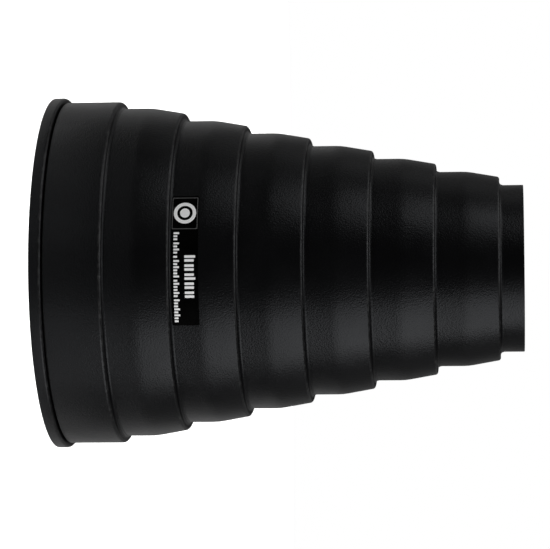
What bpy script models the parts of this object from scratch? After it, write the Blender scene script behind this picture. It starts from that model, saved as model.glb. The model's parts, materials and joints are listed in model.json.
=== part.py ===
"""A stepped conical snoot that narrows a studio light's beam, standing on its mounting flange.

The origin is the centre of the flange's rear face. +Z runs along the light's axis, towards the nose,
and the label faces -Y. Eight thin shells make the barrel. Each one passes through the in-turned lip of
the shell behind it, and its out-turned foot is held against that lip from inside by a retaining ring.
Sections and joints count from 1 at the flange, and joint n is between sections n and n + 1.
"""

import math

import bmesh
import bpy
from mathutils import Matrix, Vector

MM = 0.001
FULL_TURN = 2 * math.pi

# Driving dimensions.
RIM_RADIUS = 90.0 * MM
RIM_HEIGHT = 5.8 * MM
BARREL_LENGTH = 239.2 * MM
SECTION_RADII = [radius * MM for radius in (87.7, 84.2, 77.35, 70.5, 63.6, 56.6, 49.55)]
NOSE_RADIUS = 42.45 * MM
FIRST_FACE_HEIGHT = 34.9 * MM
SECTION_PITCH = 32.04 * MM
STRAIGHT_LENGTH = 15.7 * MM
TAPER_DROP = 2.65 * MM
WALL = 1.2 * MM
GAP = 0.3 * MM

# The lip that closes each section, and the ring behind it.
REAR_LIP_ROUND = 1.6 * MM
LIP_ROUND = 1.4 * MM
LIP_ARC_STEPS = 3
RING_THICKNESS = 1.5 * MM
RING_BAFFLE = 1.0 * MM

# The mounting flange is a channel of thicker sheet, and the spacer holds the barrel off it.
FLANGE_WALL = 1.5 * MM
FLANGE_INNER_RADIUS = 76.0 * MM
FLANGE_LIP_RADIUS = 85.0 * MM
RIM_FRONT_ROUND = 1.2 * MM
RIM_REAR_ROUND = 0.4 * MM
GROOVE = 0.6 * MM
SPACER_INNER_RADIUS = 77.0 * MM
SPACER_OUTER_RADIUS = 84.5 * MM

RIVET_COUNT = 6
RIVET_CIRCLE_RADIUS = 80.5 * MM
RIVET_FIRST_ANGLE = math.radians(30)
RIVET_RADIUS = 1.6 * MM
RIVET_HEAD_RADIUS = 3.0 * MM
RIVET_CROWN_RADIUS = 1.6 * MM
RIVET_HEAD_HEIGHT = 1.4 * MM
RIVET_TAIL_RADIUS = 2.7 * MM
RIVET_TAIL_RECESS = 0.2 * MM
RIVET_TAIL_DEPTH = 1.1 * MM

LABEL_THICKNESS = 0.35 * MM
LABEL_SECTION = 3
LABEL_BOTTOM = 67.9 * MM
LABEL_TOP = 81.2 * MM
LABEL_START = math.radians(-28.4)
LABEL_END = math.radians(19.7)
FRONT = math.radians(-90)

SEGMENTS = 48
RIVET_SEGMENTS = 12
LABEL_SEGMENTS = 14
MERGE_DISTANCE = 1e-7
SMOOTH_ANGLE = math.radians(35)

# Colour, roughness and metallic value of each finish.
FINISHES = {
    "powder_coat": ((0.012, 0.012, 0.013), 0.45, 0.0),
    "matte_paint": ((0.008, 0.008, 0.008), 0.75, 0.0),
    "blackened": ((0.03, 0.03, 0.032), 0.4, 0.8),
    "label_film": ((0.004, 0.004, 0.005), 0.2, 0.0),
}


def clear_scene():
    for old in list(bpy.data.objects):
        bpy.data.objects.remove(old, do_unlink=True)


def section_radius(section):
    """The outer radius of a section's straight part."""
    return SECTION_RADII[section - 1]


def next_radius(section):
    """The outer radius of what comes out of a section's lip."""
    return section_radius(section + 1) if section < len(SECTION_RADII) else NOSE_RADIUS


def face_height(section):
    """The height of a section's front face."""
    return FIRST_FACE_HEIGHT + (section - 1) * SECTION_PITCH


def foot_height(section):
    """The height of the rear of a section's foot, which sits behind the lip of the section before."""
    if section == 1:
        return RIM_HEIGHT + GROOVE
    return face_height(section - 1) - 2 * WALL - GAP


def lip_round(section):
    return REAR_LIP_ROUND if section == 1 else LIP_ROUND


def lip_radius(section):
    """The outer radius where a section's lip begins to turn in. Only the first section has no taper."""
    return section_radius(section) - (0 if section == 1 else TAPER_DROP)


def outer_radius_at(section, height):
    """The outer radius of a section's wall at a height between its foot and its lip."""
    lip_start = face_height(section) - lip_round(section)
    taper_start = face_height(section) - SECTION_PITCH + STRAIGHT_LENGTH
    share = max(0.0, (height - taper_start) / (lip_start - taper_start))
    return section_radius(section) + share * (lip_radius(section) - section_radius(section))


def arc(centre, radius, start_degrees, end_degrees, steps):
    """Points of an arc in the plane of radius and height, its two ends included."""
    points = []
    for step in range(steps + 1):
        angle = math.radians(start_degrees + (end_degrees - start_degrees) * step / steps)
        points.append((centre[0] + radius * math.cos(angle), centre[1] + radius * math.sin(angle)))
    return points


def lip_outline(section, base):
    """A section's lip, from the outside of its wall round to the inside, with heights above base."""
    face = face_height(section) - base
    corner_radius = lip_radius(section) - lip_round(section)
    corner_height = face - lip_round(section)
    hole_radius = next_radius(section) + GAP
    outside = arc((corner_radius, corner_height), lip_round(section), 0, 90, LIP_ARC_STEPS)
    hole = [(hole_radius, face), (hole_radius, face - WALL)]
    inside = [(corner_radius, face - WALL), (lip_radius(section) - WALL, corner_height)]
    return outside + hole + inside


def rear_section_outline():
    """A straight cylinder with an in-turned foot, which is riveted through the spacer to the flange."""
    radius = section_radius(1)
    foot = [(FLANGE_INNER_RADIUS, WALL), (FLANGE_INNER_RADIUS, 0), (radius - WALL / 2, 0), (radius, WALL / 2)]
    return foot + lip_outline(1, foot_height(1)) + [(radius - WALL, WALL)]


def stepped_section_outline(section):
    """An out-turned foot, a straight wall, a taper and an in-turned lip."""
    base = foot_height(section)
    radius = section_radius(section)
    foot_radius = lip_radius(section - 1) - lip_round(section - 1)
    taper = face_height(section - 1) + STRAIGHT_LENGTH - base
    foot = [(radius - WALL, 0), (foot_radius, 0), (foot_radius, WALL), (radius, WALL)]
    return foot + [(radius, taper)] + lip_outline(section, base) + [(radius - WALL, taper)]


def nose_outline():
    """A plain tube with an out-turned foot and a square-cut end."""
    last = len(SECTION_RADII)
    length = BARREL_LENGTH - foot_height(last + 1)
    foot_radius = lip_radius(last) - lip_round(last)
    foot = [(NOSE_RADIUS - WALL, 0), (foot_radius, 0), (foot_radius, WALL), (NOSE_RADIUS, WALL)]
    return foot + [(NOSE_RADIUS, length), (NOSE_RADIUS - WALL, length)]


def ring_height(joint):
    """The height of the rear of the ring that holds a joint's foot."""
    return foot_height(joint + 1) - GAP - RING_THICKNESS


def retaining_ring_outline(joint):
    """A flat ring whose rim follows the wall it wedges into. Its bore stands proud, as a baffle."""
    rear = outer_radius_at(joint, ring_height(joint)) - WALL - GAP
    front = outer_radius_at(joint, ring_height(joint) + RING_THICKNESS) - WALL - GAP
    bore = next_radius(joint) - WALL - RING_BAFFLE
    return [(bore, 0), (rear, 0), (front, RING_THICKNESS), (bore, RING_THICKNESS)]


def flange_outline():
    """A channel that opens inwards. Its outer rim is the disc edge that a holder takes."""
    web = [(FLANGE_INNER_RADIUS, FLANGE_WALL), (FLANGE_INNER_RADIUS, 0)]
    rear_edge = arc((RIM_RADIUS - RIM_REAR_ROUND, RIM_REAR_ROUND), RIM_REAR_ROUND, -90, 0, 1)
    front_centre = (RIM_RADIUS - RIM_FRONT_ROUND, RIM_HEIGHT - RIM_FRONT_ROUND)
    front_edge = arc(front_centre, RIM_FRONT_ROUND, 0, 90, 2)
    lip = [(FLANGE_LIP_RADIUS, RIM_HEIGHT), (FLANGE_LIP_RADIUS, RIM_HEIGHT - FLANGE_WALL)]
    inner_wall = RIM_RADIUS - FLANGE_WALL
    channel = [(inner_wall, RIM_HEIGHT - FLANGE_WALL), (inner_wall, FLANGE_WALL)]
    return web + rear_edge + front_edge + lip + channel


def spacer_outline():
    height = foot_height(1) - FLANGE_WALL - 2 * GAP
    inner, outer = SPACER_INNER_RADIUS, SPACER_OUTER_RADIUS
    return [(inner, 0), (outer, 0), (outer, height), (inner, height)]


def rivet_outline():
    """A rivet with a flush tail in the flange's countersink and a domed head on the barrel's foot."""
    head = foot_height(1) + WALL + GAP
    tail = [(0, RIVET_TAIL_RECESS), (RIVET_TAIL_RADIUS, RIVET_TAIL_RECESS), (RIVET_RADIUS, RIVET_TAIL_DEPTH)]
    dome = [(RIVET_HEAD_RADIUS, head), (RIVET_CROWN_RADIUS, head + RIVET_HEAD_HEIGHT)]
    crown = [(0, head + RIVET_HEAD_HEIGHT)]
    return tail + [(RIVET_RADIUS, head)] + dome + crown


def rivet_hole_outline():
    """The rivet's hole: its outline with clearance, running out of the flange and into the barrel."""
    shank = RIVET_RADIUS + GAP
    mouth = RIVET_TAIL_RADIUS + 2 * GAP
    end = foot_height(1) + 2 * WALL
    return [(0, -GAP), (mouth, -GAP), (mouth, 0), (shank, RIVET_TAIL_DEPTH + GAP), (shank, end), (0, end)]


def spun_mesh(name, outline, start=0.0, sweep=FULL_TURN, steps=SEGMENTS):
    """The outline turned about Z. One that begins and ends on the axis needs no edge between its ends."""
    bm = bmesh.new()
    turn = Matrix.Rotation(start, 4, "Z")
    verts = [bm.verts.new(turn @ Vector((radius, 0, height))) for radius, height in outline]
    pairs = list(zip(verts, verts[1:]))
    if outline[0][0] > 0:
        pairs.append((verts[-1], verts[0]))
    edges = [bm.edges.new(pair) for pair in pairs]
    whole = sweep == FULL_TURN
    geometry = verts + edges
    bmesh.ops.spin(bm, geom=geometry, axis=(0, 0, 1), angle=sweep, steps=steps, use_merge=whole)
    bmesh.ops.remove_doubles(bm, verts=bm.verts, dist=MERGE_DISTANCE)
    if not whole:
        ends = [edge for edge in bm.edges if edge.is_boundary]
        bmesh.ops.holes_fill(bm, edges=ends, sides=len(outline))
    bmesh.ops.recalc_face_normals(bm, faces=bm.faces)
    mesh = bpy.data.meshes.new(name)
    bm.to_mesh(mesh)
    bm.free()
    mesh.shade_smooth()
    mesh.set_sharp_from_angle(angle=SMOOTH_ANGLE)
    return mesh


def finish_material(name, finish):
    colour, roughness, metallic = FINISHES[finish]
    material = bpy.data.materials.new(name)
    material.use_nodes = True
    shader = material.node_tree.nodes["Principled BSDF"]
    shader.inputs["Base Color"].default_value = (*colour, 1.0)
    shader.inputs["Roughness"].default_value = roughness
    shader.inputs["Metallic"].default_value = metallic
    return material


def add_piece(assembly, name, mesh, finish, location=(0, 0, 0)):
    """One named sub-part of the assembly, in a material of its own."""
    piece = bpy.data.objects.new(name, mesh)
    bpy.context.scene.collection.objects.link(piece)
    piece.location = location
    piece.parent = assembly
    if not mesh.materials:
        mesh.materials.append(None)
    slot = piece.material_slots[0]
    slot.link = "OBJECT"
    slot.material = finish_material(name, finish)
    return piece


def add_turned(assembly, name, outline, finish, height):
    return add_piece(assembly, name, spun_mesh(name, outline), finish, (0, 0, height))


def rivet_places():
    places = []
    for index in range(RIVET_COUNT):
        angle = RIVET_FIRST_ANGLE + index * FULL_TURN / RIVET_COUNT
        places.append((RIVET_CIRCLE_RADIUS * math.cos(angle), RIVET_CIRCLE_RADIUS * math.sin(angle), 0))
    return places


def add_cutters():
    """The rivets' holes, as a collection of guides that aren't part of the object."""
    cutters = bpy.data.collections.new("rivet_holes")
    bpy.context.scene.collection.children.link(cutters)
    mesh = spun_mesh("rivet_hole", rivet_hole_outline(), steps=RIVET_SEGMENTS)
    for place in rivet_places():
        cutter = bpy.data.objects.new("rivet_hole", mesh)
        cutter.location = place
        cutter.hide_render = True
        cutter.display_type = "WIRE"
        cutters.objects.link(cutter)
    return cutters


def cut_holes(piece, cutters):
    cut = piece.modifiers.new("rivet_holes", "BOOLEAN")
    cut.operation = "DIFFERENCE"
    cut.solver = "EXACT"
    cut.operand_type = "COLLECTION"
    cut.collection = cutters


def build_mount(assembly):
    """The flange, the spacer and the barrel's first section, with the rivets through all three."""
    cutters = add_cutters()
    spacer_height = FLANGE_WALL + GAP
    cut_holes(add_turned(assembly, "mounting_flange", flange_outline(), "powder_coat", 0), cutters)
    cut_holes(add_turned(assembly, "spacer_ring", spacer_outline(), "matte_paint", spacer_height), cutters)
    rear = add_turned(assembly, "rear_section", rear_section_outline(), "powder_coat", foot_height(1))
    cut_holes(rear, cutters)
    mesh = spun_mesh("flange_rivet", rivet_outline(), steps=RIVET_SEGMENTS)
    for number, place in enumerate(rivet_places(), start=1):
        add_piece(assembly, f"flange_rivet_{number}", mesh, "blackened", place)


def build_barrel(assembly):
    """The stepped sections, the nose tube, and the ring behind each joint."""
    count = len(SECTION_RADII)
    for section in range(2, count + 1):
        outline = stepped_section_outline(section)
        name = f"barrel_section_{section}"
        add_turned(assembly, name, outline, "powder_coat", foot_height(section))
    add_turned(assembly, "nose_tube", nose_outline(), "powder_coat", foot_height(count + 1))
    for joint in range(1, count + 1):
        outline = retaining_ring_outline(joint)
        add_turned(assembly, f"retaining_ring_{joint}", outline, "matte_paint", ring_height(joint))


def build_label(assembly):
    """A thin film panel that wraps part of one section's straight wall."""
    inner = section_radius(LABEL_SECTION) + GAP
    outer = inner + LABEL_THICKNESS
    height = LABEL_TOP - LABEL_BOTTOM
    outline = [(inner, 0), (outer, 0), (outer, height), (inner, height)]
    sweep = LABEL_END - LABEL_START
    mesh = spun_mesh("label_panel", outline, FRONT + LABEL_START, sweep, LABEL_SEGMENTS)
    add_piece(assembly, "label_panel", mesh, "label_film", (0, 0, LABEL_BOTTOM))


def main():
    clear_scene()
    assembly = bpy.data.objects.new("snoot", None)
    bpy.context.scene.collection.objects.link(assembly)
    build_mount(assembly)
    build_barrel(assembly)
    build_label(assembly)


main()
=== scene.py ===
"""The snoot's looks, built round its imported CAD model.

Every shell, ring and rivet is turned again from the CAD node that it stands for, with round bends, a
drawn collar where the next section comes out, and procedural paint. Metres throughout, +Z towards the
nose, -Y towards the label.
"""

import json
import math

import bmesh
import bpy
from mathutils import Matrix, Vector

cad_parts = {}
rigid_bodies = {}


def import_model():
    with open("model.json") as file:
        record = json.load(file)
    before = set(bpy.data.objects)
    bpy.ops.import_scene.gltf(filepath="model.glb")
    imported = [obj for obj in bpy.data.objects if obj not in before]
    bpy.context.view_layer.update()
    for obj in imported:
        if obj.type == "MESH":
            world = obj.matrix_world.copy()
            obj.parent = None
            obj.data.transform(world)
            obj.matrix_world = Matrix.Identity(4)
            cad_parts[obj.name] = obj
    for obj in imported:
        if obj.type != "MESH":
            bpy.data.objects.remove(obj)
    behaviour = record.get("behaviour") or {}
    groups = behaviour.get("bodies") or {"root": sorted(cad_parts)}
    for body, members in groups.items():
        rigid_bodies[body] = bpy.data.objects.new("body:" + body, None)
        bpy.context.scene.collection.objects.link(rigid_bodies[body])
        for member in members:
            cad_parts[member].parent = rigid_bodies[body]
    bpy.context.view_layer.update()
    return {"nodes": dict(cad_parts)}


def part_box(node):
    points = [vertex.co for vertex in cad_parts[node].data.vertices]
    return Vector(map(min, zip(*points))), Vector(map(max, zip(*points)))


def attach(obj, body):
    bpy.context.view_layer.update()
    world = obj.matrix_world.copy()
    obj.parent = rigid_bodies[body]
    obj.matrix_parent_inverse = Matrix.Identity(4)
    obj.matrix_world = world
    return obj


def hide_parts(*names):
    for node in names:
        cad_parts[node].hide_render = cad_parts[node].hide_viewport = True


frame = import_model()
CAD_NODES = frame["nodes"]

MM = 0.001
FULL_TURN = 2 * math.pi
MERGE_DISTANCE = 1e-8
SEGMENTS = 240
RIVET_SEGMENTS = 40
ARC_STEP = math.radians(10)
DOME_STEPS = 10
SMOOTH_ANGLE = math.radians(32)
LEAST_TURN = math.radians(0.5)
ARC_SHARE = 0.98
INWARD_LIMIT = -0.3
REARWARD_LIMIT = -0.6
CORNER_SHARE = 0.49

SECTION_COUNT = 7
RIVET_COUNT = 6
WALL = 1.2 * MM
SEAM = 0.05 * MM
EDGE_ROUND = 0.3 * MM
BEND_ROUND = 1.0 * MM
INNER_BEND_ROUND = 0.6 * MM
TAPER_BLEND = 30.0 * MM
TAPER_DROP = 2.65 * MM
REAR_LIP_ROUND = 1.6 * MM
LIP_ROUND = 1.4 * MM
COLLAR_ROUND = 1.5 * MM
COLLAR_HEIGHT = 1.6 * MM
COLLAR_TIP = 0.1 * MM
REAR_EDGE_ROUND = 0.6 * MM
NOSE_EDGE_ROUND = 0.35 * MM

FLANGE_WALL = 1.5 * MM
FLANGE_LIP_RADIUS = 85.0 * MM
RIM_REAR_ROUND = 0.5 * MM
RIM_FRONT_ROUND = 1.3 * MM
# Outline steps shorter than this mark a tight outside bend, which the paint shows lighter: partly wear,
# partly a painted highlight.
WEAR_AND_HIGHLIGHT_REACH = 0.6 * MM

RIVET_HEAD_RADIUS = 3.0 * MM
RIVET_RADIUS = 1.6 * MM
RIVET_HEAD_HEIGHT = 1.4 * MM
RIVET_TAIL_RADIUS = 2.7 * MM
RIVET_TAIL_DEPTH = 0.9 * MM
RIVET_FIT = 0.1 * MM

LABEL_LIFT = 0.03 * MM
LABEL_THICKNESS = 0.22 * MM
LABEL_CORNER = 0.8 * MM
PRINT_HEIGHT = 0.03 * MM
PRINT_CORNER = 0.25 * MM
BEND_STEP = 1.2 * MM
ROUND_STEPS = 5
FRAME_START = 0.9 * MM
FRAME_END = 17.4 * MM
FRAME_MARGIN = 0.4 * MM
FRAME_LINE = 0.3 * MM
FRAME_CORNER = 0.4 * MM
MARK_HEIGHT = 6.65 * MM
MARK_RADII = (5.5 * MM, 3.8 * MM, 2.4 * MM)
TITLE_START = 30.4 * MM
TITLE_HEIGHT = 6.7 * MM
TITLE_ROW = {
    "groups": (2, 2, 2, 2, 2),
    "length": 1.25 * MM,
    "gap": 0.63 * MM,
    "heights": (5.3 * MM, 4.6 * MM, 4.6 * MM, 4.6 * MM, 4.6 * MM),
}
LINE_START = 19.0 * MM
LINE_HEIGHT = 1.3 * MM
LINE_ROW = {
    "groups": (3, 4, 1, 6, 6, 8),
    "length": 0.95 * MM,
    "gap": 0.55 * MM,
    "heights": (2.8 * MM, 1.9 * MM, 1.9 * MM, 2.8 * MM, 1.9 * MM),
}


# Outlines. Each corner is (radius, height, round), and they go once round the sheet's thickness with
# the material on the left.


def corner_turn(corners, index):
    """The unit directions into and out of a corner, and the angle between them."""
    here = Vector(corners[index][:2])
    into = (here - Vector(corners[index - 1][:2])).normalized()
    out_of = (Vector(corners[(index + 1) % len(corners)][:2]) - here).normalized()
    return into, out_of, -into.angle_signed(out_of)


def corner_reaches(corners):
    """How far each corner's arc reaches along its sides, cut down where two arcs would overlap."""
    count = len(corners)
    reaches = []
    for index in range(count):
        turn = corner_turn(corners, index)[2]
        reaches.append(corners[index][2] * math.tan(abs(turn) / 2))
    fitted = list(reaches)
    for index in range(count):
        after = (index + 1) % count
        length = (Vector(corners[after][:2]) - Vector(corners[index][:2])).length
        needed = reaches[index] + reaches[after]
        if needed > ARC_SHARE * length:
            share = ARC_SHARE * length / needed
            fitted[index] = min(fitted[index], reaches[index] * share)
            fitted[after] = min(fitted[after], reaches[after] * share)
    return fitted


def rounded(corners):
    """A closed outline with each corner rounded. Each point is (radius, height)."""
    points = []
    for index, reach in enumerate(corner_reaches(corners)):
        here = Vector(corners[index][:2])
        into, _, turn = corner_turn(corners, index)
        if reach < MERGE_DISTANCE or abs(turn) < LEAST_TURN:
            points.append(here)
            continue
        radius = reach / math.tan(abs(turn) / 2)
        start = here - into * reach
        left = Vector((-into.y, into.x)) * math.copysign(1, turn)
        centre = start + left * radius
        steps = max(2, math.ceil(abs(turn) / ARC_STEP))
        for step in range(steps + 1):
            swing = Matrix.Rotation(turn * step / steps, 2)
            points.append(centre + swing @ (start - centre))
    return points


# Measures of the CAD nodes.


def node_radii(name, low, high):
    """The smallest and the largest radius of a CAD node's vertices between two heights."""
    radii = [v.co.xy.length for v in CAD_NODES[name].data.vertices if low <= v.co.z <= high]
    return min(radii), max(radii)


def node_heights(name):
    lowest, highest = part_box(name)
    return lowest.z, highest.z


def section_node(section):
    """The CAD node of a barrel section, counted from the flange."""
    if section == 1:
        return "rear_section"
    if section > SECTION_COUNT:
        return "nose_tube"
    return f"barrel_section_{section}"


def wall_radius(section):
    """The outer radius of a section's straight wall."""
    low, high = node_heights(section_node(section))
    return node_radii(section_node(section), low + 1.5 * WALL, high)[1]


def foot_radius(section):
    low = node_heights(section_node(section))[0]
    return node_radii(section_node(section), low - WALL / 2, low + WALL / 2)[1]


def taper_height(section):
    """The height where a section's wall stops being straight."""
    widest = wall_radius(section) - WALL / 50
    name = section_node(section)
    return max(v.co.z for v in CAD_NODES[name].data.vertices if widest < v.co.xy.length < widest + WALL / 10)


# The turned pieces' outlines.


def collar(section, face, lip_radius, lip_round):
    """The lip's corner, and the drawn collar that closes on the section that comes out of it."""
    hole = wall_radius(section + 1) + SEAM
    tip = hole + COLLAR_TIP
    top = face + COLLAR_HEIGHT
    return [
        (lip_radius, face, lip_round),
        (tip, face, COLLAR_ROUND),
        (tip, top, 0),
        (hole, top, 0),
        (hole, face - WALL, EDGE_ROUND),
        (lip_radius - WALL, face - WALL, INNER_BEND_ROUND),
    ]


def rear_section_corners():
    """A straight shell with an in-turned foot."""
    foot, face = node_heights("rear_section")
    inner = node_radii("rear_section", foot, foot + WALL / 2)[0]
    wall = wall_radius(1)
    outside = [(inner, foot, EDGE_ROUND), (wall, foot, REAR_EDGE_ROUND)]
    inside = [(wall - WALL, foot + WALL, INNER_BEND_ROUND), (inner, foot + WALL, EDGE_ROUND)]
    return outside + collar(1, face, wall, REAR_LIP_ROUND) + inside


def stepped_section_corners(section):
    """An out-turned foot, a straight wall, a taper and an in-turned lip."""
    foot, face = node_heights(section_node(section))
    wall = wall_radius(section)
    taper = taper_height(section)
    slope = TAPER_DROP / (face - LIP_ROUND - taper)
    lip = wall - slope * (face - taper)
    outside = [
        (wall - WALL, foot, EDGE_ROUND),
        (foot_radius(section), foot, EDGE_ROUND),
        (foot_radius(section), foot + WALL, EDGE_ROUND),
        (wall, foot + WALL, BEND_ROUND),
        (wall, taper, TAPER_BLEND),
    ]
    return outside + collar(section, face, lip, LIP_ROUND) + [(wall - WALL, taper, TAPER_BLEND)]


def nose_corners():
    """A plain tube with an out-turned foot and a square-cut end."""
    foot, end = node_heights("nose_tube")
    wall = wall_radius(SECTION_COUNT + 1)
    brim = foot_radius(SECTION_COUNT + 1)
    return [
        (wall - WALL, foot, EDGE_ROUND),
        (brim, foot, EDGE_ROUND),
        (brim, foot + WALL, EDGE_ROUND),
        (wall, foot + WALL, BEND_ROUND),
        (wall, end, NOSE_EDGE_ROUND),
        (wall - WALL, end, NOSE_EDGE_ROUND),
    ]


def flange_corners():
    """A channel that opens inwards."""
    low, high = node_heights("mounting_flange")
    inner, rim = node_radii("mounting_flange", low, high)
    web, lip_back, channel = low + FLANGE_WALL, high - FLANGE_WALL, rim - FLANGE_WALL
    return [
        (inner, low, EDGE_ROUND),
        (rim, low, RIM_REAR_ROUND),
        (rim, high, RIM_FRONT_ROUND),
        (FLANGE_LIP_RADIUS, high, EDGE_ROUND),
        (FLANGE_LIP_RADIUS, lip_back, EDGE_ROUND),
        (channel, lip_back, EDGE_ROUND),
        (channel, web, INNER_BEND_ROUND),
        (inner, web, EDGE_ROUND),
    ]


def ring_corners(name):
    """A flat ring, or the spacer, with broken edges."""
    low, high = node_heights(name)
    bore, rear = node_radii(name, low, low + WALL / 4)
    front = node_radii(name, high - WALL / 4, high)[1]
    outline = [(bore, low), (rear, low), (front, high), (bore, high)]
    return [(radius, height, EDGE_ROUND) for radius, height in outline]


def rivet_points(name):
    """Half of a rivet's outline, from the middle of its tail to the middle of its domed head."""
    low, high = node_heights(name)
    head = high - RIVET_HEAD_HEIGHT
    points = [(0, low), (RIVET_TAIL_RADIUS, low)]
    points += [(RIVET_RADIUS, low + RIVET_TAIL_DEPTH), (RIVET_RADIUS, head)]
    for step in range(DOME_STEPS + 1):
        angle = math.pi / 2 * step / DOME_STEPS
        points.append((RIVET_HEAD_RADIUS * math.cos(angle), head + RIVET_HEAD_HEIGHT * math.sin(angle)))
    return [Vector(point) for point in points]


# Meshes.


def turned_mesh(name, outline, segments=SEGMENTS, place=(0, 0)):
    """The outline turned about an upright axis at place. Each face's material says which way it looks."""
    count = len(outline)
    closed = outline[0].x > MERGE_DISTANCE
    edges = count if closed else count - 1
    verts = []
    for step in range(segments):
        angle = FULL_TURN * step / segments
        cosine, sine = math.cos(angle), math.sin(angle)
        verts += [(place[0] + p.x * cosine, place[1] + p.x * sine, p.y) for p in outline]
    faces, looks = [], []
    for step in range(segments):
        here, there = step * count, (step + 1) % segments * count
        for index in range(edges):
            after = (index + 1) % count
            faces.append((here + index, there + index, there + after, here + after))
            side = outline[after] - outline[index]
            looks.append(looks_inward(side))
    mesh = bpy.data.meshes.new(name)
    mesh.from_pydata(verts, [], faces)
    mesh.polygons.foreach_set("material_index", looks)
    # Marks the tight outside bends that the paint shows lighter, partly as wear and partly as a painted
    # highlight.
    wear_and_highlight = mesh.attributes.new("wear_and_highlight", "FLOAT", "POINT")
    wear_and_highlight.data.foreach_set("value", wear_and_highlight_points(outline) * segments)
    weld(mesh)
    return mesh


def looks_inward(side):
    """1 for a stretch of outline that faces the axis or the rear, and 0 for one on the outside."""
    normal = Vector((side.y, -side.x)).normalized() if side.length > 0 else Vector((1, 0))
    return int(normal.x < INWARD_LIMIT or normal.y < REARWARD_LIMIT)


def wear_and_highlight_points(outline):
    """1.0 for each point on a tight outside bend, where the paint is lightened, partly as wear and partly as
    a painted highlight, and 0.0 for the others.
    """
    wear_and_highlight = []
    for index, point in enumerate(outline):
        before = point - outline[index - 1]
        after = outline[(index + 1) % len(outline)] - point
        tight = max(before.length, after.length) < WEAR_AND_HIGHLIGHT_REACH
        wear_and_highlight.append(float(tight and before.cross(after) > 0))
    return wear_and_highlight


def use_one_material(mesh):
    """Gives every face the first material, whichever way it looks."""
    mesh.polygons.foreach_set("material_index", [0] * len(mesh.polygons))


def weld(mesh):
    """Joins what meets on an axis and shades the mesh."""
    bm = bmesh.new()
    bm.from_mesh(mesh)
    bmesh.ops.remove_doubles(bm, verts=bm.verts, dist=MERGE_DISTANCE)
    bmesh.ops.dissolve_degenerate(bm, edges=bm.edges, dist=MERGE_DISTANCE)
    bm.to_mesh(mesh)
    bm.free()
    mesh.shade_smooth()
    mesh.set_sharp_from_angle(angle=SMOOTH_ANGLE)


def add_piece(mesh, materials, slot, *nodes):
    """One piece of the visual model, which stands for its CAD nodes."""
    piece = bpy.data.objects.new(mesh.name, mesh)
    bpy.context.scene.collection.objects.link(piece)
    for material in materials:
        mesh.materials.append(material)
    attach(piece, "root")
    if nodes:
        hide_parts(*nodes)
    return piece


def cut_rivet_holes(piece, cutters):
    """Cuts the rivets' holes and keeps the result as the piece's own mesh."""
    cut = piece.modifiers.new("rivet_holes", "BOOLEAN")
    cut.operation = "DIFFERENCE"
    cut.solver = "EXACT"
    cut.operand_type = "COLLECTION"
    cut.collection = cutters
    graph = bpy.context.evaluated_depsgraph_get()
    mesh = bpy.data.meshes.new_from_object(piece.evaluated_get(graph))
    piece.modifiers.clear()
    mesh.name = piece.name
    piece.data = mesh
    mesh.shade_smooth()
    mesh.set_sharp_from_angle(angle=SMOOTH_ANGLE)


# Flat shapes that are bent round the label's section. They are drawn with X along the arc, Y along the
# barrel and Z outwards.


def rounded_rectangle(left, right, low, high, corner):
    """A rectangle's outline with round corners, counterclockwise."""
    points = []
    corner = min(corner, CORNER_SHARE * (right - left), CORNER_SHARE * (high - low))
    centres = [(right - corner, low + corner), (right - corner, high - corner)]
    centres += [(left + corner, high - corner), (left + corner, low + corner)]
    for quarter, (x, y) in enumerate(centres):
        for step in range(ROUND_STEPS + 1):
            angle = math.pi / 2 * (quarter - 1 + step / ROUND_STEPS)
            points.append((x + corner * math.cos(angle), y + corner * math.sin(angle)))
    return points


def disc_outline(x, y, radius, steps=36):
    angles = [FULL_TURN * step / steps for step in range(steps)]
    return [(x + radius * math.cos(angle), y + radius * math.sin(angle)) for angle in angles]


def add_plate(bm, outline, low, high):
    """A flat solid of that outline between two heights."""
    below = [bm.verts.new((x, y, low)) for x, y in outline]
    above = [bm.verts.new((x, y, high)) for x, y in outline]
    bm.faces.new(above)
    bm.faces.new(reversed(below))
    for index in range(len(outline)):
        bm.faces.new((below[index - 1], below[index], above[index], above[index - 1]))


def add_frame(bm, outer, inner, low, high):
    """A flat solid between an outer and an inner outline of as many points."""
    loops = []
    for outline, height in ((outer, low), (outer, high), (inner, high), (inner, low)):
        loops.append([bm.verts.new((x, y, height)) for x, y in outline])
    for first, second in zip(loops, loops[1:] + loops[:1]):
        for index in range(len(outer)):
            bm.faces.new((first[index - 1], first[index], second[index], second[index - 1]))


def bent_mesh(name, bm, radius):
    """The flat solids cut across every BEND_STEP and bent round the barrel, with arc 0 at -Y."""
    low = min(v.co.x for v in bm.verts)
    high = max(v.co.x for v in bm.verts)
    cut = math.floor(low / BEND_STEP) * BEND_STEP
    while cut < high:
        everything = bm.verts[:] + bm.edges[:] + bm.faces[:]
        across = {"plane_co": (cut, 0, 0), "plane_no": (1, 0, 0)}
        bmesh.ops.bisect_plane(bm, geom=everything, dist=MERGE_DISTANCE, **across)
        cut += BEND_STEP
    for vert in bm.verts:
        angle = vert.co.x / radius
        reach = radius + vert.co.z
        vert.co = (reach * math.sin(angle), -reach * math.cos(angle), vert.co.y)
    bmesh.ops.recalc_face_normals(bm, faces=bm.faces)
    mesh = bpy.data.meshes.new(name)
    bm.to_mesh(mesh)
    bm.free()
    mesh.shade_smooth()
    mesh.set_sharp_from_angle(angle=SMOOTH_ANGLE)
    return mesh


# Materials.


def new_material(name):
    material = bpy.data.materials.new(name)
    material.use_nodes = True
    tree = material.node_tree
    shader = tree.nodes["Principled BSDF"]
    place = tree.nodes.new("ShaderNodeTexCoord").outputs["Object"]
    return material, tree, shader, place


def noise(tree, place, size, detail=2.0):
    """Soft noise with features of about that size."""
    node = tree.nodes.new("ShaderNodeTexNoise")
    node.inputs["Scale"].default_value = 1 / size
    node.inputs["Detail"].default_value = detail
    tree.links.new(place, node.inputs["Vector"])
    return node.outputs["Fac"]


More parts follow.
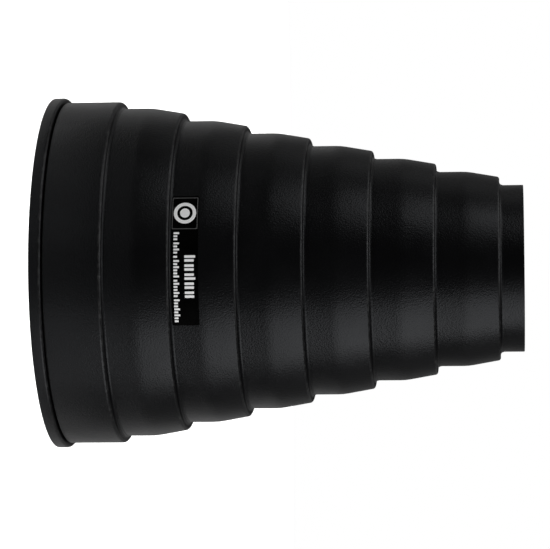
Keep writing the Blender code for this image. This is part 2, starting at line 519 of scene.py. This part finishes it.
def mapped(tree, value, low, high, start=0.3, end=0.7):
    """The value from start to end spread over low to high."""
    node = tree.nodes.new("ShaderNodeMapRange")
    node.inputs["From Min"].default_value = start
    node.inputs["From Max"].default_value = end
    node.inputs["To Min"].default_value = low
    node.inputs["To Max"].default_value = high
    tree.links.new(value, node.inputs["Value"])
    return node.outputs["Result"]


def mixed(tree, share, first, second):
    """A colour between two, by share."""
    node = tree.nodes.new("ShaderNodeMix")
    node.data_type = "RGBA"
    node.inputs["A"].default_value = (*first, 1)
    node.inputs["B"].default_value = (*second, 1)
    tree.links.new(share, node.inputs["Factor"])
    return node.outputs["Result"]


def wear_and_highlight_to(tree, place, paint, wear_and_highlight_colour):
    """The paint's colour, lightened in patches on the tight outside bends: partly worn paint, partly a
    painted highlight along the edges.
    """
    wear_and_highlight = tree.nodes.new("ShaderNodeAttribute")
    wear_and_highlight.attribute_name = "wear_and_highlight"
    patches = tree.nodes.new("ShaderNodeMath")
    patches.operation = "MULTIPLY"
    tree.links.new(wear_and_highlight.outputs["Fac"], patches.inputs[0])
    tree.links.new(mapped(tree, noise(tree, place, 3 * MM, 4), 0.15, 1, 0.5, 0.7), patches.inputs[1])
    node = tree.nodes.new("ShaderNodeMix")
    node.data_type = "RGBA"
    node.inputs["B"].default_value = (*wear_and_highlight_colour, 1)
    tree.links.new(patches.outputs["Value"], node.inputs["Factor"])
    tree.links.new(paint, node.inputs["A"])
    return node.outputs["Result"]


def bumped(tree, height, depth, strength=1.0, under=None):
    node = tree.nodes.new("ShaderNodeBump")
    node.inputs["Strength"].default_value = strength
    node.inputs["Distance"].default_value = depth
    tree.links.new(height, node.inputs["Height"])
    if under:
        tree.links.new(under, node.inputs["Normal"])
    return node.outputs["Normal"]


def powder_coat(name):
    """Fine black powder coat: a soft sheen, orange peel, and a grain of small lumps."""
    material, tree, shader, place = new_material(name)
    cloud = noise(tree, place, 18 * MM, 3)
    grain = noise(tree, place, 0.8 * MM, 2)
    peel = noise(tree, place, 4 * MM)
    colour = mixed(tree, cloud, (0.0014, 0.0014, 0.0016), (0.0024, 0.0024, 0.0026))
    # The tight outside bends are lighter in patches: partly worn paint, partly a painted highlight along the
    # lips.
    colour = wear_and_highlight_to(tree, place, colour, (0.018, 0.018, 0.018))
    tree.links.new(colour, shader.inputs["Base Color"])
    tree.links.new(mapped(tree, cloud, 0.30, 0.36), shader.inputs["Roughness"])
    normal = bumped(tree, peel, 0.030 * MM)
    normal = bumped(tree, grain, 0.14 * MM, under=normal)
    tree.links.new(normal, shader.inputs["Normal"])
    shader.inputs["Specular IOR Level"].default_value = 0.13
    shader.inputs["Specular Tint"].default_value = (0.92, 0.95, 1.0, 1.0)
    return material


def matte_paint(name):
    """Flat black paint that kills reflections inside."""
    material, tree, shader, place = new_material(name)
    cloud = noise(tree, place, 12 * MM, 3)
    grain = noise(tree, place, 0.7 * MM, 3)
    colour = mixed(tree, cloud, (0.0045, 0.0045, 0.0045), (0.0080, 0.0080, 0.0080))
    tree.links.new(colour, shader.inputs["Base Color"])
    tree.links.new(mapped(tree, cloud, 0.72, 0.84), shader.inputs["Roughness"])
    tree.links.new(bumped(tree, grain, 0.03 * MM), shader.inputs["Normal"])
    shader.inputs["Specular IOR Level"].default_value = 0.2
    return material


def blackened_metal(name):
    """Blackened steel with a slightly uneven sheen."""
    material, tree, shader, place = new_material(name)
    cloud = noise(tree, place, 2.5 * MM, 3)
    grain = noise(tree, place, 0.4 * MM)
    colour = mixed(tree, cloud, (0.020, 0.020, 0.022), (0.045, 0.044, 0.043))
    tree.links.new(colour, shader.inputs["Base Color"])
    tree.links.new(mapped(tree, cloud, 0.32, 0.48), shader.inputs["Roughness"])
    tree.links.new(bumped(tree, grain, 0.006 * MM), shader.inputs["Normal"])
    shader.inputs["Metallic"].default_value = 0.85
    return material


def label_film(name):
    """Smooth black film with faint handling marks."""
    material, tree, shader, place = new_material(name)
    smear = noise(tree, place, 7 * MM, 4)
    colour = mixed(tree, smear, (0.0002, 0.0002, 0.0002), (0.0005, 0.0005, 0.0005))
    tree.links.new(colour, shader.inputs["Base Color"])
    tree.links.new(mapped(tree, smear, 0.24, 0.34), shader.inputs["Roughness"])
    tree.links.new(bumped(tree, smear, 0.01 * MM), shader.inputs["Normal"])
    shader.inputs["Specular IOR Level"].default_value = 0.03
    return material


def label_ink(name, light, dark):
    """Screen-printed ink, a little uneven."""
    material, tree, shader, place = new_material(name)
    speckle = noise(tree, place, 0.6 * MM, 2)
    tree.links.new(mixed(tree, speckle, dark, light), shader.inputs["Base Color"])
    tree.links.new(mapped(tree, speckle, 0.45, 0.6), shader.inputs["Roughness"])
    tree.links.new(bumped(tree, speckle, 0.004 * MM), shader.inputs["Normal"])
    return material


SHELL = powder_coat("shell_paint")
INSIDE = matte_paint("inner_paint")
RIVET = blackened_metal("rivet_black")
FILM = label_film("label_film")
INK = label_ink("label_ink", (0.86, 0.86, 0.86), (0.76, 0.76, 0.76))
GREY_INK = label_ink("label_grey_ink", (0.085, 0.085, 0.085), (0.06, 0.06, 0.06))


# The object.


def build_rivets():
    """The six rivets, and the holes that they need, as a collection of cutters."""
    cutters = bpy.data.collections.new("rivet_holes")
    bpy.context.scene.collection.children.link(cutters)
    for number in range(1, RIVET_COUNT + 1):
        node = f"flange_rivet_{number}"
        low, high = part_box(node)
        place = ((low.x + high.x) / 2, (low.y + high.y) / 2)
        mesh = turned_mesh(f"rivet_{number}", rivet_points(node), RIVET_SEGMENTS, place)
        use_one_material(mesh)
        add_piece(mesh, [RIVET], "rivet_black", node)
        shank = RIVET_RADIUS + RIVET_FIT
        mouth = RIVET_TAIL_RADIUS + RIVET_FIT
        seat = low.z + RIVET_TAIL_DEPTH
        top = high.z - RIVET_HEAD_HEIGHT + WALL / 10
        hole = [(0, -MM), (mouth, -MM), (mouth, low.z), (shank, seat), (shank, top), (0, top)]
        cutter_mesh = turned_mesh("rivet_hole", [Vector(p) for p in hole], RIVET_SEGMENTS, place)
        cutters.objects.link(bpy.data.objects.new("rivet_hole", cutter_mesh))
    return cutters


def remove_cutters(cutters):
    for cutter in list(cutters.objects):
        bpy.data.objects.remove(cutter)
    bpy.data.collections.remove(cutters)


def build_mount():
    """The flange, the spacer, the rear section and the rivets through all three."""
    cutters = build_rivets()
    flange = turned_mesh("flange_channel", rounded(flange_corners()))
    use_one_material(flange)
    spacer = turned_mesh("flange_spacer", rounded(ring_corners("spacer_ring")))
    use_one_material(spacer)
    shell = turned_mesh("rear_shell", rounded(rear_section_corners()))
    for piece in (
        add_piece(flange, [SHELL], "shell_paint", "mounting_flange"),
        add_piece(spacer, [INSIDE], "inner_paint", "spacer_ring"),
        add_piece(shell, [SHELL, INSIDE], "shell_paint", "rear_section"),
    ):
        cut_rivet_holes(piece, cutters)
    remove_cutters(cutters)


def build_barrel():
    """The stepped shells, the nose, and the ring behind each joint."""
    for section in range(2, SECTION_COUNT + 1):
        mesh = turned_mesh(f"stepped_shell_{section}", rounded(stepped_section_corners(section)))
        add_piece(mesh, [SHELL, INSIDE], "shell_paint", section_node(section))
    mesh = turned_mesh("nose_shell", rounded(nose_corners()))
    add_piece(mesh, [SHELL, INSIDE], "shell_paint", "nose_tube")
    for joint in range(1, SECTION_COUNT + 1):
        node = f"retaining_ring_{joint}"
        mesh = turned_mesh(f"baffle_ring_{joint}", rounded(ring_corners(node)))
        use_one_material(mesh)
        add_piece(mesh, [INSIDE], "inner_paint", node)


def add_strokes(bm, at, low, row):
    """A row of short printed strokes in groups, the heights taken in turn."""
    count = 0
    for strokes in row["groups"]:
        for _ in range(strokes):
            high = low + row["heights"][count % len(row["heights"])]
            outline = rounded_rectangle(at, at + row["length"], low, high, PRINT_CORNER)
            add_plate(bm, outline, LABEL_THICKNESS, LABEL_THICKNESS + PRINT_HEIGHT)
            at += row["length"] + row["gap"]
            count += 1
        at += row["gap"]


def build_film(base, start, end, bottom, top):
    bm = bmesh.new()
    add_plate(bm, rounded_rectangle(start, end, bottom, top, LABEL_CORNER), 0, LABEL_THICKNESS)
    add_piece(bent_mesh("label_film", bm, base), [FILM], "label_film", "label_panel")


def build_frame_print(base, left, right, low, high):
    """The thin grey square that frames the mark."""
    bm = bmesh.new()
    line = FRAME_LINE
    outer = rounded_rectangle(left, right, low, high, FRAME_CORNER)
    inner = rounded_rectangle(left + line, right - line, low + line, high - line, FRAME_CORNER)
    add_frame(bm, outer, inner, LABEL_THICKNESS, LABEL_THICKNESS + PRINT_HEIGHT)
    add_piece(bent_mesh("label_frame_print", bm, base), [GREY_INK], "label_print")


def build_label():
    """The film on the third section, with a plain ring-and-dot mark, and strokes in place of lettering."""
    base = wall_radius(3) + LABEL_LIFT
    bottom, top = node_heights("label_panel")
    angles = [math.atan2(v.co.x, -v.co.y) for v in CAD_NODES["label_panel"].data.vertices]
    start, end = min(angles) * base, max(angles) * base
    build_film(base, start, end, bottom, top)
    left, right = start + FRAME_START, start + FRAME_END
    build_frame_print(base, left, right, bottom + FRAME_MARGIN, top - FRAME_MARGIN)
    bm = bmesh.new()
    centre = ((left + right) / 2, bottom + MARK_HEIGHT)
    rings = [disc_outline(*centre, radius) for radius in MARK_RADII]
    add_frame(bm, rings[0], rings[1], LABEL_THICKNESS, LABEL_THICKNESS + PRINT_HEIGHT)
    add_plate(bm, rings[2], LABEL_THICKNESS, LABEL_THICKNESS + PRINT_HEIGHT)
    add_strokes(bm, start + TITLE_START, bottom + TITLE_HEIGHT, TITLE_ROW)
    add_strokes(bm, start + LINE_START, bottom + LINE_HEIGHT, LINE_ROW)
    add_piece(bent_mesh("label_marks_print", bm, base), [INK], "label_print")


build_mount()
build_barrel()
build_label()


# The stage: a white floor and background that only the camera sees, and softboxes all round. The world
# gives everything else a dim grey.

TARGET = Vector((0, 0, 0.115))
WORLD_STRENGTH = 0.045
FLOOR_RADIUS = 1.5
FLOOR_THICKNESS = 0.01
FLOOR_EDGE_ROUND = 0.002
FLOOR_CENTRE_RADIUS = 0.001
FLOOR_SEGMENTS = 96
FLOOR_LIGHT_POWER = 3.4
FLOOR_LIGHT_ANGLE = math.radians(60)

# The camera was solved by least squares on the outline in the photograph, and its lens then trimmed.
CAMERA_LENS = 170.73
CAMERA_SENSOR = 36.0
CAMERA_PLACE = (0, -1.3341, 0.22816)
CAMERA_TILT = math.radians(-4.978)
CAMERA_TRIM_TILT = math.radians(-0.0815)
CAMERA_TRIM_ROLL = math.radians(-0.5885)

# Name, azimuth, elevation, distance, width, height and power. Most of the powers were solved by least
# squares on the shading in the photograph. The others were set one by one.
SOFTBOXES = (
    ("key", 60, 20, 1.3, 1.25, 0.95, 15.7),
    ("fill", -64, 27, 1.3, 0.7, 0.65, 4.2),
    ("back_left", -105, 58, 1.3, 0.9, 0.9, 5.1),
    ("top_left", -115, 80, 1.3, 0.6, 0.5, 2.5),
    ("top_front", -12, 72, 1.3, 0.6, 0.5, 3.0),
    ("top_right", 85, 80, 1.3, 0.6, 0.5, 1.6),
    ("low_left", -100, -25, 1.3, 1.0, 0.5, 2.1),
    ("low_right", 100, -25, 1.3, 1.0, 0.5, 1.8),
    ("side_left", -110, 15, 1.3, 0.7, 0.6, 0.6),
    ("side_right", 110, 15, 1.3, 0.7, 0.6, 0.25),
    ("behind_left", -152, 12, 1.3, 0.9, 0.7, 0.3),
    ("behind_right", 152, 12, 1.3, 0.9, 0.7, 0.3),
    ("low_behind_left", -142, -12, 1.3, 1.0, 0.45, 0.6),
    ("low_behind_right", 142, -12, 1.3, 1.0, 0.45, 0.6),
    ("rim_left", -45, -27, 0.34, 0.28, 0.1, 0.09),
    ("rim_front", 0, -27, 0.34, 0.28, 0.1, 0.055),
    ("rim_right", 45, -27, 0.34, 0.28, 0.1, 0.14),
)


def light_direction(azimuth, elevation):
    """Azimuth is in degrees from -Y towards +X, and elevation towards +Z."""
    around, up = math.radians(azimuth), math.radians(elevation)
    return Vector((math.sin(around) * math.cos(up), -math.cos(around) * math.cos(up), math.sin(up)))


def add_softbox(name, azimuth, elevation, distance, width, height, power):
    data = bpy.data.lights.new(name, "AREA")
    data.shape = "RECTANGLE"
    data.size = width
    data.size_y = height
    data.energy = power
    light = bpy.data.objects.new(name, data)
    bpy.context.scene.collection.objects.link(light)
    towards = light_direction(azimuth, elevation)
    light.location = TARGET + towards * distance
    light.rotation_euler = towards.to_track_quat("Z", "Y").to_euler()
    light.visible_camera = False


def build_floor():
    """A thin round slab of white matte paper that only the camera sees."""
    centre, edge = FLOOR_CENTRE_RADIUS, FLOOR_EDGE_ROUND
    corners = [(centre, -FLOOR_THICKNESS, 0), (FLOOR_RADIUS, -FLOOR_THICKNESS, edge)]
    corners += [(FLOOR_RADIUS, 0, edge), (centre, 0, 0)]
    outline = [Vector((0, -FLOOR_THICKNESS))] + rounded(corners)[1:-1] + [Vector((0, 0))]
    mesh = turned_mesh("floor", outline, FLOOR_SEGMENTS)
    use_one_material(mesh)
    material, tree, shader, place = new_material("floor_paper")
    fibre = noise(tree, place, 3 * MM, 4)
    tree.links.new(mixed(tree, fibre, (0.90, 0.90, 0.90), (0.94, 0.94, 0.94)), shader.inputs["Base Color"])
    tree.links.new(mapped(tree, fibre, 0.85, 0.95), shader.inputs["Roughness"])
    shader.inputs["Specular IOR Level"].default_value = 0.0
    mesh.materials.append(material)
    floor = bpy.data.objects.new("floor", mesh)
    bpy.context.scene.collection.objects.link(floor)
    floor.visible_diffuse = False
    floor.visible_glossy = False
    floor.visible_shadow = False
    return floor


def light_floor(floor):
    """A sun from straight above that lights the floor and nothing else."""
    lit = bpy.data.collections.new("floor_only")
    lit.objects.link(floor)
    data = bpy.data.lights.new("floor_light", "SUN")
    data.energy = FLOOR_LIGHT_POWER
    data.angle = FLOOR_LIGHT_ANGLE
    light = bpy.data.objects.new("floor_light", data)
    bpy.context.scene.collection.objects.link(light)
    light.light_linking.receiver_collection = lit
    light.light_linking.blocker_collection = lit


def build_background():
    """White to the camera, and a dim grey to everything else."""
    world = bpy.data.worlds.new("background")
    bpy.context.scene.world = world
    world.use_nodes = True
    tree = world.node_tree
    background = tree.nodes["Background"]
    rays = tree.nodes.new("ShaderNodeLightPath")
    shade = tree.nodes.new("ShaderNodeMapRange")
    shade.inputs["To Min"].default_value = WORLD_STRENGTH
    shade.inputs["To Max"].default_value = 1.0
    tree.links.new(rays.outputs["Is Camera Ray"], shade.inputs["Value"])
    tree.links.new(shade.outputs["Result"], background.inputs["Strength"])
    background.inputs["Color"].default_value = (1, 1, 1, 1)


def add_camera():
    """Level with the nose end, rolled a quarter turn so that the nose points right."""
    data = bpy.data.cameras.new("camera")
    data.lens = CAMERA_LENS
    data.sensor_width = CAMERA_SENSOR
    camera = bpy.data.objects.new("camera", data)
    bpy.context.scene.collection.objects.link(camera)
    quarter_turn = Matrix(((0, -1, 0), (0, 0, -1), (1, 0, 0))).to_4x4()
    aim = Matrix.Rotation(CAMERA_TILT, 4, "X") @ quarter_turn
    trim = Matrix.Rotation(CAMERA_TRIM_TILT, 4, "X") @ Matrix.Rotation(CAMERA_TRIM_ROLL, 4, "Z")
    camera.matrix_world = Matrix.Translation(CAMERA_PLACE) @ aim @ trim
    bpy.context.scene.camera = camera


bpy.context.scene.view_settings.view_transform = "Standard"
light_floor(build_floor())
build_background()
add_camera()
for softbox in SOFTBOXES:
    add_softbox(*softbox)
